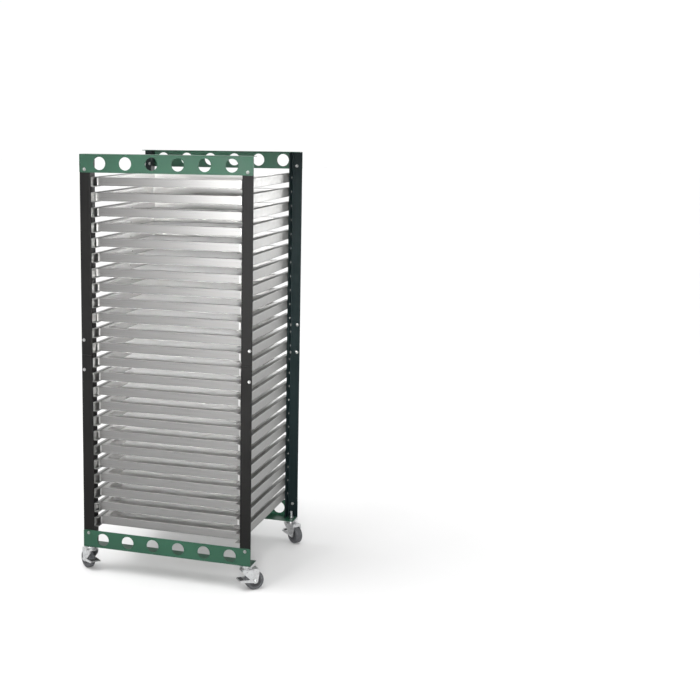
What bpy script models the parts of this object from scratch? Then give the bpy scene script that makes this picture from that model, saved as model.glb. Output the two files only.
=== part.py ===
"""Screen drying rack: a tall mobile rack that holds 24 framed mesh screens on channel rails.

Frame: metres, +Z up, origin on the floor under the middle of the rack.
The screens are loaded and pulled out at the front, which faces -Y.
"""
import math

import bmesh
import bpy
from mathutils import Matrix, Vector

OBJECT_NAME = "screen_drying_rack"

# Overall plan, over the outer faces of the cross plates and posts
WIDTH = 0.716
DEPTH = 0.676

# Gap kept between pieces that touch
SEAT_GAP = 0.0003

# Screens: aluminium bars with mesh across the underside
LEVELS = 24
PITCH = 0.060
SCREEN_LENGTH = 0.560
SCREEN_SETBACK = 0.038
BAR_WIDTH = 0.029
BAR_HEIGHT = 0.034
MESH_SHEET = 0.0008
SIDE_PLAY = 0.0065
LOADING_SHIFT = 0.0045
LOADING_STEP = 2.4

# Channel rails, joined into banks by upright carrier strips
RAIL_SHEET = 0.0015
RAIL_FLANGE = 0.018
RAIL_PLAY = 0.001
CARRIER_SHEET = 0.0015
CARRIER_WIDTH = 0.020
CARRIER_TRIM = 0.002

# Corner posts: angle steel in two halves with a splice angle
POST_LEG = 0.045
POST_SHEET = 0.003
SPLICE_LEG = 0.038
SPLICE_SHEET = 0.003
SPLICE_LENGTH = 0.160

# Cross plates: flanged sheet with a row of round holes
PLATE_HEIGHT = 0.072
PLATE_SHEET = 0.002
PLATE_END_GAP = 0.017
TOP_FLANGE = 0.042
BASE_FLANGE = 0.076
HOLE_COUNT = 6
HOLE_RADIUS = 0.0255
HOLE_SPACING = 0.109

# Swivel casters
CASTER_INSET_X = 0.022
CASTER_INSET_Y = 0.026
CASTER_ANGLE = math.radians(38.0)
CASTER_TRAIL = 0.030
WHEEL_RADIUS = 0.038
WHEEL_WIDTH = 0.030
WHEEL_HEADROOM = 0.0085
TYRE_ROUND = 0.006
HUB_RADIUS = 0.026
HUB_RECESS = 0.003
BOSS_RADIUS = 0.011
AXLE_RADIUS = 0.004
AXLE_HEAD_RADIUS = 0.0075
AXLE_HEAD = 0.003
AXLE_PLAY = 0.0003
FORK_SHEET = 0.0025
FORK_SIDE_PLAY = 0.002
FORK_LEAD = 0.024
FORK_TAIL = 0.017
FORK_LIP = 0.012
FORK_END_RADIUS = 0.011
CROWN_RADIUS = 0.026
CROWN_STEP = 0.0008
RACE_RADIUS = 0.021
RACE_HEIGHT = 0.0115
MOUNT_RADIUS = 0.030
MOUNT_SHEET = 0.003
KINGPIN_RADIUS = 0.006
KINGPIN_HEAD_RADIUS = 0.010
KINGPIN_HEAD = 0.004
STEM_RADIUS = 0.005
STEM_RISE = 0.030
NUT_RADIUS = 0.0092
NUT_HEIGHT = 0.008
PEDAL_SHEET = 0.002
PEDAL_ARM_RADIUS = 0.008
PEDAL_REACH = 0.066
PEDAL_TREAD = 0.021

# Facets of round shapes
HOLE_SIDES = 20
TURN_STEPS = 16
WHEEL_STEPS = 20
AXLE_SIDES = 12
NUT_SIDES = 6

# Heights, from the floor up through the caster stack
AXLE_Z = WHEEL_RADIUS
CROWN_UNDER_Z = 2.0 * WHEEL_RADIUS + WHEEL_HEADROOM
CROWN_TOP_Z = CROWN_UNDER_Z + FORK_SHEET + CROWN_STEP
RACE_UNDER_Z = CROWN_TOP_Z + SEAT_GAP
MOUNT_UNDER_Z = RACE_UNDER_Z + RACE_HEIGHT
MOUNT_TOP_Z = MOUNT_UNDER_Z + MOUNT_SHEET
BASE_Z = MOUNT_TOP_Z + SEAT_GAP
FIRST_RAIL_Z = BASE_Z + PLATE_HEIGHT + PLATE_END_GAP
RAIL_HEIGHT = BAR_HEIGHT + 2.0 * RAIL_SHEET + RAIL_PLAY
LAST_RAIL_TOP_Z = FIRST_RAIL_Z + (LEVELS - 1) * PITCH + RAIL_HEIGHT
TOP_Z = LAST_RAIL_TOP_Z + PLATE_END_GAP + PLATE_HEIGHT
POST_BOTTOM_Z = BASE_Z + PLATE_SHEET + SEAT_GAP
POST_TOP_Z = TOP_Z - PLATE_SHEET - SEAT_GAP
SPLICE_Z = 0.5 * (POST_BOTTOM_Z + POST_TOP_Z)

# Plan positions, as distances from the middle of the rack
POST_FACE_Y = 0.5 * DEPTH - PLATE_SHEET - SEAT_GAP
POST_INNER_X = 0.5 * WIDTH - POST_LEG
CARRIER_X = POST_INNER_X - SEAT_GAP
CARRIER_Y = POST_FACE_Y - 0.5 * POST_LEG
RAIL_X = CARRIER_X - CARRIER_SHEET
RAIL_HALF_LENGTH = POST_FACE_Y - POST_SHEET - SEAT_GAP
SCREEN_WIDTH = 2.0 * (RAIL_X - RAIL_SHEET - SIDE_PLAY)
SCREEN_Y = -0.5 * DEPTH + SCREEN_SETBACK + 0.5 * SCREEN_LENGTH

# Caster widths, out from the middle of the wheel along the axle
FORK_INNER = 0.5 * WHEEL_WIDTH + FORK_SIDE_PLAY
FORK_OUTER = FORK_INNER + FORK_SHEET
PEDAL_INNER = FORK_OUTER + SEAT_GAP
PEDAL_OUTER = PEDAL_INNER + PEDAL_SHEET
AXLE_HEAD_INNER = PEDAL_OUTER + SEAT_GAP

CORNERS = {
    "front_left": (-1, -1),
    "front_right": (1, -1),
    "rear_left": (-1, 1),
    "rear_right": (1, 1),
}


def clear_scene():
    """Remove every object that the scene starts with."""
    for obj in list(bpy.data.objects):
        bpy.data.objects.remove(obj, do_unlink=True)


def new_collection(name):
    """Add a collection to the scene."""
    collection = bpy.data.collections.new(name)
    bpy.context.scene.collection.children.link(collection)
    return collection


def new_material(name, color, roughness, metallic):
    """Make a Principled material for one kind of piece."""
    material = bpy.data.materials.new(name)
    material.use_nodes = True
    shader = material.node_tree.nodes["Principled BSDF"]
    shader.inputs["Base Color"].default_value = (*color, 1.0)
    shader.inputs["Roughness"].default_value = roughness
    shader.inputs["Metallic"].default_value = metallic
    return material


def mesh_from_bmesh(name, bm):
    """Turn a bmesh into a mesh and free it."""
    mesh = bpy.data.meshes.new(name)
    bm.to_mesh(mesh)
    bm.free()
    return mesh


def box_mesh(name, low, high):
    """A box between two opposite corners."""
    size = Vector(high) - Vector(low)
    middle = 0.5 * (Vector(high) + Vector(low))
    bm = bmesh.new()
    bmesh.ops.create_cube(bm, size=1.0, matrix=Matrix.Translation(middle) @ Matrix.Diagonal((*size, 1.0)))
    return mesh_from_bmesh(name, bm)


def rod_mesh(name, radius, length, sides, turn=Matrix.Identity(4)):
    """A round bar, centred on the origin and lying along Z before it is turned."""
    bm = bmesh.new()
    bmesh.ops.create_cone(
        bm, cap_ends=True, segments=sides, radius1=radius, radius2=radius, depth=length, matrix=turn
    )
    return mesh_from_bmesh(name, bm)


def outline_mesh(name, loops, thickness, matrix=Matrix.Identity(4)):
    """A flat outline, with any holes as further loops, given a thickness along its normal."""
    curve = bpy.data.curves.new(name, "CURVE")
    curve.dimensions = "2D"
    curve.fill_mode = "BOTH"
    curve.extrude = 0.5 * thickness
    for loop in loops:
        spline = curve.splines.new("POLY")
        spline.points.add(len(loop) - 1)
        spline.use_cyclic_u = True
        for point, (u, v) in zip(spline.points, loop):
            point.co = (u, v, 0.0, 1.0)
    holder = bpy.data.objects.new(name, curve)
    bpy.context.scene.collection.objects.link(holder)
    depsgraph = bpy.context.evaluated_depsgraph_get()
    mesh = bpy.data.meshes.new_from_object(holder.evaluated_get(depsgraph))
    bpy.data.objects.remove(holder, do_unlink=True)
    bpy.data.curves.remove(curve)
    bm = bmesh.new()
    bm.from_mesh(mesh)
    bmesh.ops.remove_doubles(bm, verts=bm.verts, dist=1e-6)
    bmesh.ops.transform(bm, matrix=matrix, verts=bm.verts)
    bmesh.ops.recalc_face_normals(bm, faces=bm.faces)
    bm.to_mesh(mesh)
    bm.free()
    return mesh


def turned_mesh(name, profile, steps, closed=False):
    """A shape turned about Z from (radius, height) points that run down its outer side."""
    bm = bmesh.new()
    verts = [bm.verts.new((radius, 0.0, height)) for radius, height in profile]
    for first, second in zip(verts, verts[1:]):
        bm.edges.new((first, second))
    if closed:
        bm.edges.new((verts[-1], verts[0]))
    holder = bpy.data.objects.new(name, mesh_from_bmesh(name, bm))
    bpy.context.scene.collection.objects.link(holder)
    screw = holder.modifiers.new("turn", "SCREW")
    screw.steps = steps
    screw.render_steps = steps
    screw.use_merge_vertices = True
    screw.merge_threshold = 1e-6
    return baked(holder)


def baked(holder):
    """Return an object's evaluated mesh and remove the object."""
    depsgraph = bpy.context.evaluated_depsgraph_get()
    mesh = bpy.data.meshes.new_from_object(holder.evaluated_get(depsgraph))
    bpy.data.objects.remove(holder, do_unlink=True)
    return mesh


def combined(mesh, tools, operation):
    """Join or cut a mesh with others, one after another."""
    for tool in tools:
        holder = bpy.data.objects.new(mesh.name, mesh)
        helper = bpy.data.objects.new(tool.name, tool)
        for obj in (holder, helper):
            bpy.context.scene.collection.objects.link(obj)
        boolean = holder.modifiers.new(operation.lower(), "BOOLEAN")
        boolean.operation = operation
        boolean.solver = "EXACT"
        boolean.object = helper
        mesh = baked(holder)
        bpy.data.objects.remove(helper, do_unlink=True)
    return mesh


def merged_copies(name, mesh, matrices):
    """One mesh that holds a copy of another at each matrix, still as separate bodies."""
    bm = bmesh.new()
    for matrix in matrices:
        copy = mesh.copy()
        copy.transform(matrix)
        bm.from_mesh(copy)
        bpy.data.meshes.remove(copy)
    return mesh_from_bmesh(name, bm)


def add_part(name, mesh, material, matrix=Matrix.Identity(4), smooth_angle=None):
    """Add a named piece to the object's collection."""
    part = bpy.data.objects.new(name, mesh)
    part.matrix_world = matrix
    bpy.data.collections[OBJECT_NAME].objects.link(part)
    if not mesh.materials:
        mesh.materials.append(material)
    if smooth_angle is not None:
        mesh.shade_smooth()
        mesh.set_sharp_from_angle(angle=smooth_angle)
    return part


def add_cutter(name, mesh):
    """Add a hidden cutting shape."""
    cutter = bpy.data.objects.new(name, mesh)
    cutter.hide_render = True
    cutter.display_type = "WIRE"
    bpy.data.collections[OBJECT_NAME + "_cutters"].objects.link(cutter)
    return cutter


def cut_with(part, cutter):
    """Cut a piece with a cutter that stays editable."""
    boolean = part.modifiers.new(cutter.name, "BOOLEAN")
    boolean.operation = "DIFFERENCE"
    boolean.solver = "EXACT"
    boolean.object = cutter


def angle_outline(leg, sheet, corner):
    """An angle section whose outer corner lies at the given point, with its legs towards -u and +v."""
    u, v = corner
    return [
        (u - leg, v),
        (u, v),
        (u, v + leg),
        (u - sheet, v + leg),
        (u - sheet, v + sheet),
        (u - leg, v + sheet),
    ]


def corner_point(side_x, side_y, u, v):
    """Plan point at u in from the rack's side and v in from its post faces."""
    return (side_x * (0.5 * WIDTH - u), side_y * (POST_FACE_Y - v))


def upright_angle(name, corner, outline, bottom, top):
    """An angle section standing at one corner of the rack."""
    side_x, side_y = corner
    loop = [corner_point(side_x, side_y, u, v) for u, v in outline]
    middle = Matrix.Translation((0.0, 0.0, 0.5 * (bottom + top)))
    return outline_mesh(name, [loop], top - bottom, middle)


def add_posts(paint):
    """Four corner posts, each in two halves held by a splice angle in its open side."""
    post = angle_outline(POST_LEG, POST_SHEET, (POST_LEG, 0.0))
    nest = POST_SHEET + SEAT_GAP
    splice = angle_outline(SPLICE_LEG, SPLICE_SHEET, (POST_LEG - nest, nest))
    half_gap = 0.5 * SEAT_GAP
    half_splice = 0.5 * SPLICE_LENGTH
    spans = {
        "lower": (POST_BOTTOM_Z, SPLICE_Z - half_gap),
        "upper": (SPLICE_Z + half_gap, POST_TOP_Z),
    }
    for where, corner in CORNERS.items():
        for half, (bottom, top) in spans.items():
            name = f"post_{where}_{half}"
            add_part(name, upright_angle(name, corner, post, bottom, top), paint)
        name = f"splice_{where}"
        mesh = upright_angle(name, corner, splice, SPLICE_Z - half_splice, SPLICE_Z + half_splice)
        add_part(name, mesh, paint)


def add_hole_cutter(name, height):
    """The row of round holes at one height, through the front and rear plates alike."""
    along_y = Matrix.Rotation(math.radians(90.0), 4, "X")
    rod = rod_mesh(name, HOLE_RADIUS, 1.2 * DEPTH, HOLE_SIDES, along_y)
    first = -0.5 * (HOLE_COUNT - 1) * HOLE_SPACING
    places = [Matrix.Translation((first + i * HOLE_SPACING, 0.0, height)) for i in range(HOLE_COUNT)]
    return add_cutter(name, merged_copies(name, rod, places))


def add_stem_cutter():
    """The four holes that the caster stems pass through."""
    rod = rod_mesh("stem_holes", STEM_RADIUS + SEAT_GAP, 4.0 * PLATE_SHEET, TURN_STEPS)
    places = [Matrix.Translation((*caster_xy(corner), BASE_Z + 0.5 * PLATE_SHEET)) for corner in CORNERS.values()]
    return add_cutter("stem_holes", merged_copies("stem_holes", rod, places))


def add_cross_plates(paint):
    """Flanged plates across the front and rear, at the top and at the base."""
    top_holes = add_hole_cutter("top_holes", TOP_Z - 0.5 * PLATE_HEIGHT)
    base_holes = add_hole_cutter("base_holes", BASE_Z + 0.5 * PLATE_HEIGHT)
    stem_holes = add_stem_cutter()
    for where, side_y in (("front", -1), ("rear", 1)):
        for level, edge_z, inward, flange, cutters in (
            ("top", TOP_Z, -1, TOP_FLANGE, [top_holes]),
            ("base", BASE_Z, 1, BASE_FLANGE, [base_holes, stem_holes]),
        ):
            section = [
                (0.0, 0.0),
                (flange, 0.0),
                (flange, PLATE_SHEET),
                (PLATE_SHEET, PLATE_SHEET),
                (PLATE_SHEET, PLATE_HEIGHT),
                (0.0, PLATE_HEIGHT),
            ]
            loop = [(side_y * (0.5 * DEPTH - v), edge_z + inward * h) for v, h in section]
            # The section's first axis turns to Y and its second to Z, so its normal runs along X
            along_x = Matrix(((0, 0, 1, 0), (1, 0, 0, 0), (0, 1, 0, 0), (0, 0, 0, 1)))
            name = f"cross_plate_{where}_{level}"
            plate = add_part(name, outline_mesh(name, [loop], WIDTH, along_x), paint)
            for cutter in cutters:
                cut_with(plate, cutter)


def rail_z(level):
    """Underside of a rail, with level 1 at the top."""
    return FIRST_RAIL_Z + (LEVELS - level) * PITCH


def rail_bank(name, side_x, levels):
    """The rails of one side over a run of levels, with the two carrier strips that hold them."""
    section = [
        (0.0, 0.0),
        (RAIL_FLANGE, 0.0),
        (RAIL_FLANGE, RAIL_SHEET),
        (RAIL_SHEET, RAIL_SHEET),
        (RAIL_SHEET, RAIL_HEIGHT - RAIL_SHEET),
        (RAIL_FLANGE, RAIL_HEIGHT - RAIL_SHEET),
        (RAIL_FLANGE, RAIL_HEIGHT),
        (0.0, RAIL_HEIGHT),
    ]
    loop = [(side_x * (RAIL_X - u), h) for u, h in section]
    along_y = Matrix.Rotation(math.radians(90.0), 4, "X")
    rail = outline_mesh(name, [loop], 2.0 * RAIL_HALF_LENGTH, along_y)
    rails = merged_copies(name, rail, [Matrix.Translation((0.0, 0.0, rail_z(k))) for k in levels])
    bottom = rail_z(max(levels)) + CARRIER_TRIM
    top = rail_z(min(levels)) + RAIL_HEIGHT - CARRIER_TRIM
    sides = (side_x * CARRIER_X, side_x * (RAIL_X - 0.5 * RAIL_SHEET))
    carriers = []
    for side_y in (-1, 1):
        low = (min(sides), side_y * CARRIER_Y - 0.5 * CARRIER_WIDTH, bottom)
        high = (max(sides), side_y * CARRIER_Y + 0.5 * CARRIER_WIDTH, top)
        carriers.append(box_mesh("carrier", low, high))
    return combined(rails, carriers, "UNION")


def add_rails(metal):
    """Two banks of rails on each side, one for each half of the posts."""
    middle = LEVELS // 2
    halves = {"upper": range(1, middle + 1), "lower": range(middle + 1, LEVELS + 1)}
    for side, side_x in (("left", -1), ("right", 1)):
        for half, levels in halves.items():
            name = f"rails_{side}_{half}"
            add_part(name, rail_bank(name, side_x, levels), metal)


def rectangle(width, length):
    """A rectangle about the origin."""
    u = 0.5 * width
    v = 0.5 * length
    return [(-u, -v), (u, -v), (u, v), (-u, v)]


def screen_mesh():
    """A frame of bars with mesh across its underside, its origin under the middle of the frame."""
    mid_height = Matrix.Translation((0.0, 0.0, 0.5 * BAR_HEIGHT))
    frame = outline_mesh("screen", [rectangle(SCREEN_WIDTH, SCREEN_LENGTH)], BAR_HEIGHT, mid_height)
    well_width = SCREEN_WIDTH - 2.0 * BAR_WIDTH
    well_length = SCREEN_LENGTH - 2.0 * BAR_WIDTH
    well = box_mesh(
        "well",
        (-0.5 * well_width, -0.5 * well_length, MESH_SHEET),
        (0.5 * well_width, 0.5 * well_length, 2.0 * BAR_HEIGHT),
    )
    return combined(frame, [well], "DIFFERENCE")


def loading_shift(level):
    """How far to the side a screen lies in its rails after it was pushed in by hand."""
    return LOADING_SHIFT * math.sin(LOADING_STEP * level)


def add_screens(metal):
    """One screen on each pair of rails."""
    mesh = screen_mesh()
    for level in range(1, LEVELS + 1):
        place = (loading_shift(level), SCREEN_Y, rail_z(level) + RAIL_SHEET + SEAT_GAP)
        add_part(f"screen_{level:02d}", mesh, metal, Matrix.Translation(place))


def caster_xy(corner):
    """Plan point of a caster's stem."""
    side_x, side_y = corner
    return (side_x * (0.5 * WIDTH - CASTER_INSET_X), side_y * (0.5 * DEPTH - CASTER_INSET_Y))


def caster_matrix(corner):
    """Place a caster whose wheel trails along +X before it is turned."""
    side_x, side_y = corner
    trail = math.atan2(-side_y * math.sin(CASTER_ANGLE), side_x * math.cos(CASTER_ANGLE))
    return Matrix.Translation((*caster_xy(corner), 0.0)) @ Matrix.Rotation(trail, 4, "Z")


def along_axle():
    """Turn a shape that lies along Z so that it lies along the axle."""
    return Matrix.Rotation(math.radians(-90.0), 4, "X")


def mount_mesh():
    """Caster mount: race cup, kingpin with its head, threaded stem and the nut on it."""
    head_top = CROWN_UNDER_Z - SEAT_GAP
    nut_bottom = BASE_Z + PLATE_SHEET + SEAT_GAP
    profile = [
        (0.0, nut_bottom + STEM_RISE),
        (STEM_RADIUS, nut_bottom + STEM_RISE),
        (STEM_RADIUS, MOUNT_TOP_Z),
        (MOUNT_RADIUS, MOUNT_TOP_Z),
        (MOUNT_RADIUS, MOUNT_UNDER_Z),
        (RACE_RADIUS, MOUNT_UNDER_Z),
        (RACE_RADIUS, RACE_UNDER_Z),
        (KINGPIN_RADIUS, RACE_UNDER_Z),
        (KINGPIN_RADIUS, head_top),
        (KINGPIN_HEAD_RADIUS, head_top),
        (KINGPIN_HEAD_RADIUS, head_top - KINGPIN_HEAD),
        (0.0, head_top - KINGPIN_HEAD),
    ]
    mount = turned_mesh("caster_mount", profile, TURN_STEPS)
    nut_middle = Matrix.Translation((0.0, 0.0, nut_bottom + 0.5 * NUT_HEIGHT))
    nut = rod_mesh("nut", NUT_RADIUS, NUT_HEIGHT, NUT_SIDES, nut_middle)
    return combined(mount, [nut], "UNION")


def arc(center, radius, start, end, count):
    """Points along an arc, with angles in degrees."""
    points = []
    for i in range(count):
        angle = math.radians(start + (end - start) * i / (count - 1))
        points.append((center[0] + radius * math.cos(angle), center[1] + radius * math.sin(angle)))
    return points


def straddling_mesh(name, outline, outer, hollow, inner):
    """A bent sheet that straddles the wheel: a side outline across the axle, less a narrower hollow."""
    upright = Matrix.Rotation(math.radians(90.0), 4, "X")
    block = outline_mesh(name, [outline], 2.0 * outer, upright)
    core = outline_mesh("hollow", [hollow], 2.0 * inner, upright)
    return combined(block, [core], "DIFFERENCE")


def fork_mesh():
    """Caster fork: crown, two raked legs, a lip behind the wheel and the riveted axle."""
    saddle_top = CROWN_TOP_Z - CROWN_STEP
    lip_bottom = saddle_top - FORK_LIP
    tail = CASTER_TRAIL + FORK_TAIL
    outline = [(tail, saddle_top), (-FORK_LEAD, saddle_top), (-FORK_LEAD, lip_bottom)]
    outline += arc((CASTER_TRAIL, AXLE_Z), FORK_END_RADIUS, 210.0, 360.0, 9)
    outline.append((tail, lip_bottom))
    hollow = [
        (-2.0 * FORK_LEAD, 0.0),
        (2.0 * tail, 0.0),
        (2.0 * tail, lip_bottom),
        (tail - FORK_SHEET, lip_bottom),
        (tail - FORK_SHEET, saddle_top - FORK_SHEET),
        (-2.0 * FORK_LEAD, saddle_top - FORK_SHEET),
    ]
    saddle = straddling_mesh("caster_fork", outline, FORK_OUTER, hollow, FORK_INNER)
    crown_middle = Matrix.Translation((0.0, 0.0, CROWN_TOP_Z - 0.5 * FORK_SHEET))
    crown = rod_mesh("crown", CROWN_RADIUS, FORK_SHEET, TURN_STEPS, crown_middle)
    axle_place = Matrix.Translation((CASTER_TRAIL, 0.0, AXLE_Z))
    axle_length = 2.0 * AXLE_HEAD_INNER + AXLE_HEAD
    axle = rod_mesh("axle", AXLE_RADIUS, axle_length, AXLE_SIDES, axle_place @ along_axle())
    heads = []
    for side in (-1, 1):
        place = axle_place @ Matrix.Translation((0.0, side * (AXLE_HEAD_INNER + 0.5 * AXLE_HEAD), 0.0))
        heads.append(rod_mesh("head", AXLE_HEAD_RADIUS, AXLE_HEAD, AXLE_SIDES, place @ along_axle()))
    fork = combined(saddle, [crown, axle, *heads], "UNION")
    kingpin_hole = rod_mesh(
        "kingpin_hole", KINGPIN_RADIUS + SEAT_GAP, 4.0 * FORK_SHEET, TURN_STEPS, crown_middle
    )
    return combined(fork, [kingpin_hole], "DIFFERENCE")


def wheel_mesh():
    """Caster wheel about its axle, with a rounded tyre and a recessed disc round the boss."""
    half = 0.5 * WHEEL_WIDTH
    bore = AXLE_RADIUS + AXLE_PLAY
    upper = [(bore, half), (BOSS_RADIUS, half), (BOSS_RADIUS, half - HUB_RECESS)]
    upper += [(HUB_RADIUS, half - HUB_RECESS), (HUB_RADIUS, half)]
    upper += arc((WHEEL_RADIUS - TYRE_ROUND, half - TYRE_ROUND), TYRE_ROUND, 90.0, 0.0, 3)
    lower = [(radius, -height) for radius, height in reversed(upper)]
    mesh = turned_mesh("caster_wheel", upper + lower, WHEEL_STEPS, closed=True)
    mesh.transform(along_axle())
    return mesh


def pedal_mesh():
    """Brake pedal: two arms outside the fork legs, turning on the axle, and a tread ahead of the wheel."""
    outline = [(-PEDAL_REACH, PEDAL_ARM_RADIUS), (-PEDAL_REACH, 0.0)]
    outline += arc((0.0, 0.0), PEDAL_ARM_RADIUS, -90.0, 90.0, 9)
    tread_end = -PEDAL_REACH + PEDAL_TREAD
    tread_under = PEDAL_ARM_RADIUS - PEDAL_SHEET
    beyond = 2.0 * PEDAL_ARM_RADIUS
    hollow = [
        (-2.0 * PEDAL_REACH, -beyond),
        (beyond, -beyond),
        (beyond, beyond),
        (tread_end, beyond),
        (tread_end, tread_under),
        (-2.0 * PEDAL_REACH, tread_under),
    ]
    pedal = straddling_mesh("caster_pedal", outline, PEDAL_OUTER, hollow, PEDAL_INNER)
    eye = rod_mesh("eye", AXLE_RADIUS + AXLE_PLAY, 4.0 * PEDAL_OUTER, AXLE_SIDES, along_axle())
    return combined(pedal, [eye], "DIFFERENCE")


def add_casters(zinc, rubber):
    """A braked swivel caster under each corner."""
    mount = mount_mesh()
    fork = fork_mesh()
    wheel = wheel_mesh()
    pedal = pedal_mesh()
    to_axle = Matrix.Translation((CASTER_TRAIL, 0.0, AXLE_Z))
    smooth = math.radians(35.0)
    for where, corner in CORNERS.items():
        place = caster_matrix(corner)
        add_part(f"caster_mount_{where}", mount, zinc, place, smooth)
        add_part(f"caster_fork_{where}", fork, zinc, place, smooth)
        add_part(f"caster_wheel_{where}", wheel, rubber, place @ to_axle, smooth)
        add_part(f"caster_pedal_{where}", pedal, zinc, place @ to_axle, smooth)


def main():
    """Build the whole rack."""
    clear_scene()
    new_collection(OBJECT_NAME)
    cutters = new_collection(OBJECT_NAME + "_cutters")
    cutters.hide_render = True
    black = new_material("black_enamel", (0.028, 0.030, 0.030), 0.45, 0.0)
    green = new_material("green_enamel", (0.070, 0.165, 0.115), 0.50, 0.0)
    galvanised = new_material("galvanised_steel", (0.52, 0.52, 0.51), 0.45, 1.0)
    aluminium = new_material("mill_aluminium", (0.62, 0.62, 0.61), 0.35, 1.0)
    zinc = new_material("zinc_plate", (0.60, 0.61, 0.61), 0.30, 1.0)
    rubber = new_material("grey_rubber", (0.060, 0.062, 0.070), 0.80, 0.0)
    add_posts(black)
    add_cross_plates(green)
    add_rails(galvanised)
    add_screens(aluminium)
    add_casters(zinc, rubber)


main()
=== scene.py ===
"""Looks of the screen drying rack: detailed pieces, finishes, floor, light and camera."""
from __future__ import annotations

import logging
import math
from collections.abc import Iterable, Sequence
from dataclasses import dataclass, field
from enum import Enum

import bmesh
import bpy
from mathutils import Matrix, Vector

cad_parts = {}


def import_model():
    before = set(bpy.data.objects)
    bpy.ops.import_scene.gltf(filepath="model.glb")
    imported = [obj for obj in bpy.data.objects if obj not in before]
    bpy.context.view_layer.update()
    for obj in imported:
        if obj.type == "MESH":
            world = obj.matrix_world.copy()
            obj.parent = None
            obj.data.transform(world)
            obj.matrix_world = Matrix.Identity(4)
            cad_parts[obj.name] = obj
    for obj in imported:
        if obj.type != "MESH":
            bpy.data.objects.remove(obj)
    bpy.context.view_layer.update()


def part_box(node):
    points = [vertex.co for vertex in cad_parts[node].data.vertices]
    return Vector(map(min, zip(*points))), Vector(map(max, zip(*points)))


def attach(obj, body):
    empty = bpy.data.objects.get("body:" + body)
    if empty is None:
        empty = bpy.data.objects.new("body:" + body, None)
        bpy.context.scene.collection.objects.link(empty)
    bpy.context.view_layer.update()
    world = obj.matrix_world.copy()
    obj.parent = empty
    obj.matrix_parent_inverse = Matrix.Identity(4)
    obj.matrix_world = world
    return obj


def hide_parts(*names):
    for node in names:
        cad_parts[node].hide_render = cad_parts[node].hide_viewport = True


LOG = logging.getLogger("drying_rack")
Socket = bpy.types.NodeSocket
Mesh = bpy.types.Mesh
Point = tuple[float, float]
Colour = tuple[float, float, float]
RACK = "rack"
LEVELS = 24
IMAGE_SIZE = 700.0
SMOOTH_ANGLE = math.radians(32.0)
IDENTITY = Matrix.Identity(4)
# Stands a section up: its y along Z, and the bar's length along Y
UPRIGHT = Matrix.Rotation(math.radians(90.0), 4, "X")


class Corner(Enum):
    """A corner of the rack: its name and its sides of X and Y."""

    FRONT_LEFT = ("front_left", -1, -1)
    FRONT_RIGHT = ("front_right", 1, -1)
    REAR_LEFT = ("rear_left", -1, 1)
    REAR_RIGHT = ("rear_right", 1, 1)

    @property
    def label(self) -> str:
        """Name used in the CAD nodes."""
        return self.value[0]

    @property
    def sides(self) -> tuple[int, int]:
        """Signs of X and Y."""
        return self.value[1], self.value[2]


class Slot(Enum):
    """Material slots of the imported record."""

    BLACK = "black_enamel"
    GREEN = "green_enamel"
    GALVANISED = "galvanised_steel"
    ALUMINIUM = "mill_aluminium"
    ZINC = "zinc_plate"
    RUBBER = "grey_rubber"


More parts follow.
